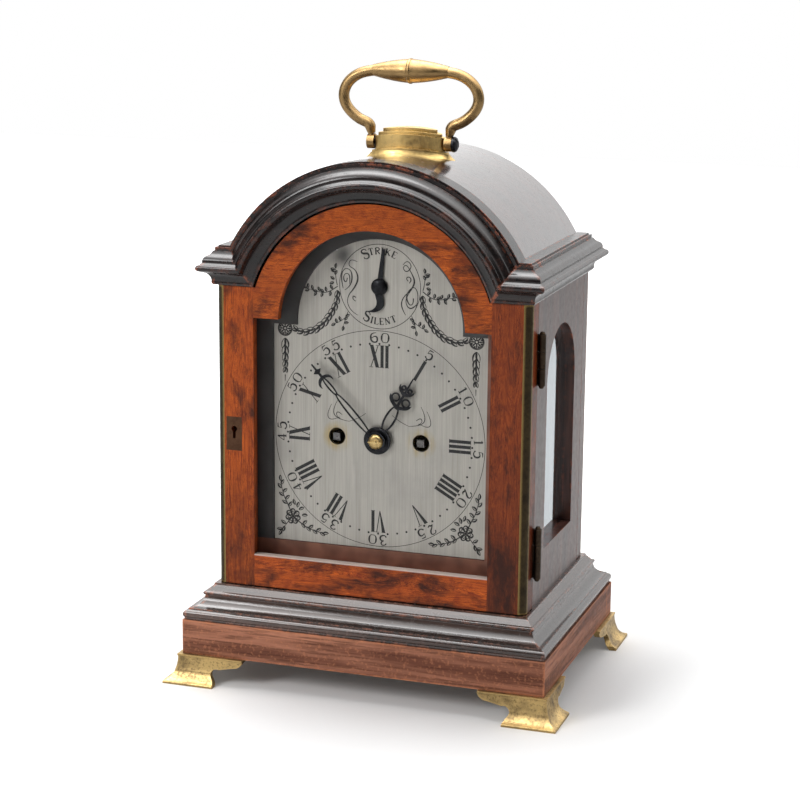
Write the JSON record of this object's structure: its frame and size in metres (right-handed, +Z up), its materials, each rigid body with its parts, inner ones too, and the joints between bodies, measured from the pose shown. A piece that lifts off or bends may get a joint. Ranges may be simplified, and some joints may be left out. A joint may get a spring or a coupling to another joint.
{
  "type": "bracket clock",
  "caption": "Break-arch bracket clock in a dark mahogany case on cast brass bracket feet, with hinged doors, a carrying handle, a silvered arched dial and a spring-driven verge movement.",
  "frame": {"origin": "on the table, under the middle of the plinth and the feet", "axes": "+Z up, +X to the right as the dial is read, +Y to the back of the clock"},
  "size_m": [0.2548, 0.1918, 0.3869],
  "materials": {
    "mahogany": "figured orange-brown mahogany veneer, french polished",
    "dark_wood": "dark ebonised mahogany, worn to orange-brown on its edges",
    "side_wood": "dark purple-brown mahogany, french polished",
    "carcase": "plain unpolished oak or pine inside the case",
    "brass": "aged cast and sheet brass",
    "dark_brass": "dark patinated brass",
    "movement_brass": "lacquered brass",
    "bell_metal": "turned bell metal",
    "steel": "plain steel",
    "blued_steel": "blackened or blued steel",
    "silvered": "silvered brass with vertical brushing and filled engraving",
    "mask_paint": "dark grey painted surface round the dial",
    "gut": "natural gut line",
    "glass": "clear old glass"
  },
  "bodies": {
    "case": {"foot_front_left": "brass", "foot_front_right": "brass", "foot_rear_left": "brass", "foot_rear_right": "brass", "foot_screws": "steel", "plinth_boards": "side_wood", "base_board": "carcase", "base_mouldings": "dark_wood", "case_side_left": "side_wood", "case_side_right": "side_wood", "side_glasses": "glass", "dial_mask": "mask_paint", "roof_shell": "dark_wood", "arch_moulding": "dark_wood", "cornice_mouldings": "dark_wood", "rear_arch_board": "dark_wood", "handle_base": "brass", "handle_bolt": "blued_steel", "case_hinges": "dark_brass", "seat_board": "carcase", "dial_plate": "silvered", "front_plate": "movement_brass", "back_plate": "movement_brass", "pillars": "movement_brass", "movement_cocks": "movement_brass", "bell": "bell_metal", "gut_lines": "gut"},
    "front_door": {"front_stile_left": "mahogany", "front_stile_right": "mahogany", "front_bottom_rail": "mahogany", "front_arch_rail": "mahogany", "front_glass": "glass", "front_brass_edges": "brass", "escutcheon": "brass", "front_lock": "dark_brass", "front_hinge_leaves": "dark_brass"},
    "lock_bolt": {"front_lock_bolt": "dark_brass"},
    "rear_door": {"rear_door_frame": "dark_wood", "rear_glass": "glass", "rear_brass_edges": "dark_brass", "rear_hinge_leaves": "dark_brass"},
    "door_latch": {"rear_latch": "dark_brass"},
    "handle": {"carry_handle": "brass"},
    "selector": {"strike_silent_hand": "blued_steel"},
    "minute_work": {"cannon_pinion": "movement_brass", "minute_hand": "blued_steel", "hand_collet": "movement_brass"},
    "hour_work": {"hour_hand": "blued_steel", "hour_wheel": "movement_brass"},
    "reverse_wheel": {"minute_wheel": "movement_brass"},
    "centre_arbor": {"centre_wheel": "movement_brass"},
    "going_fusee": {"going_fusee": "movement_brass"},
    "going_barrel": {"going_barrel": "movement_brass"},
    "strike_fusee": {"strike_fusee": "movement_brass"},
    "strike_barrel": {"strike_barrel": "movement_brass"},
    "contrate_arbor": {"contrate_wheel": "movement_brass"},
    "escape_arbor": {"crown_wheel": "steel"},
    "pendulum": {"verge_pendulum": "steel", "pendulum_bob": "movement_brass"},
    "hammer": {"bell_hammer": "movement_brass"}
  },
  "joints": [
    {"name": "front_door_hinge", "type": "hinge", "parent": "case", "child": "front_door", "pos_m": [0.1026, -0.0528, 0.148], "axis": [0, 0, 1], "range_deg": [0, 170]},
    {"name": "lock_bolt_slide", "type": "slide", "parent": "front_door", "child": "lock_bolt", "axis": [1, 0, 0], "range_m": [0, 0.0055]},
    {"name": "rear_door_hinge", "type": "hinge", "parent": "case", "child": "rear_door", "pos_m": [-0.1026, 0.0573, 0.148], "axis": [0, 0, 1], "range_deg": [0, 170]},
    {"name": "latch_turn", "type": "hinge", "parent": "rear_door", "child": "door_latch", "pos_m": [0.082, 0.073, 0.1585], "axis": [0, 1, 0], "range_deg": [0, 90]},
    {"name": "handle_swing", "type": "hinge", "parent": "case", "child": "handle", "pos_m": [0, 0.00425, 0.33509], "axis": [1, 0, 0], "range_deg": [-84, 84]},
    {"name": "selector_turn", "type": "hinge", "parent": "case", "child": "selector", "pos_m": [0, -0.05115, 0.2533], "axis": [0, 1, 0], "range_deg": [-60, 60]},
    {"name": "minute_turn", "type": "hinge", "parent": "case", "child": "minute_work", "pos_m": [0, -0.05115, 0.1582], "axis": [0, 1, 0], "continuous": true},
    {"name": "hour_turn", "type": "hinge", "parent": "case", "child": "hour_work", "pos_m": [0, -0.05115, 0.1582], "axis": [0, 1, 0], "continuous": true},
    {"name": "reverse_wheel_turn", "type": "hinge", "parent": "case", "child": "reverse_wheel", "pos_m": [0, -0.042, 0.1348], "axis": [0, 1, 0], "continuous": true},
    {"name": "escape_turn", "type": "hinge", "parent": "case", "child": "escape_arbor", "pos_m": [0, 0.0025, 0.191], "axis": [0, 0, 1], "continuous": true},
    {"name": "contrate_turn", "type": "hinge", "parent": "case", "child": "contrate_arbor", "pos_m": [0, 0, 0.1777], "axis": [0, 1, 0], "continuous": true},
    {"name": "centre_turn", "type": "hinge", "parent": "case", "child": "centre_arbor", "pos_m": [0, 0, 0.1582], "axis": [0, 1, 0], "continuous": true},
    {"name": "going_fusee_turn", "type": "hinge", "parent": "case", "child": "going_fusee", "pos_m": [0.0272, 0, 0.1582], "axis": [0, 1, 0], "continuous": true},
    {"name": "going_barrel_turn", "type": "hinge", "parent": "case", "child": "going_barrel", "pos_m": [0.035, 0, 0.1185], "axis": [0, 1, 0], "continuous": true},
    {"name": "strike_fusee_turn", "type": "hinge", "parent": "case", "child": "strike_fusee", "pos_m": [-0.0272, 0, 0.1582], "axis": [0, 1, 0], "continuous": true},
    {"name": "strike_barrel_turn", "type": "hinge", "parent": "case", "child": "strike_barrel", "pos_m": [-0.035, 0, 0.1185], "axis": [0, 1, 0], "continuous": true},
    {"name": "pendulum_swing", "type": "hinge", "parent": "case", "child": "pendulum", "pos_m": [0, 0, 0.211], "axis": [0, 1, 0], "range_deg": [-22, 22]},
    {"name": "hammer_lift", "type": "hinge", "parent": "case", "child": "hammer", "pos_m": [-0.043, 0, 0.209], "axis": [0, 1, 0], "range_deg": [-15, 0]}
  ],
  "couplings": [
    {"joint": "hour_turn", "follows": "minute_turn", "ratio": 0.083333},
    {"joint": "reverse_wheel_turn", "follows": "minute_turn", "ratio": -1},
    {"joint": "contrate_turn", "follows": "escape_turn", "ratio": 0.076923},
    {"joint": "centre_turn", "follows": "escape_turn", "ratio": -0.0064103},
    {"joint": "going_fusee_turn", "follows": "escape_turn", "ratio": 0.00053419},
    {"joint": "going_barrel_turn", "follows": "escape_turn", "ratio": 0.00024152},
    {"joint": "strike_barrel_turn", "follows": "strike_fusee_turn", "ratio": 0.45213}
  ]
}
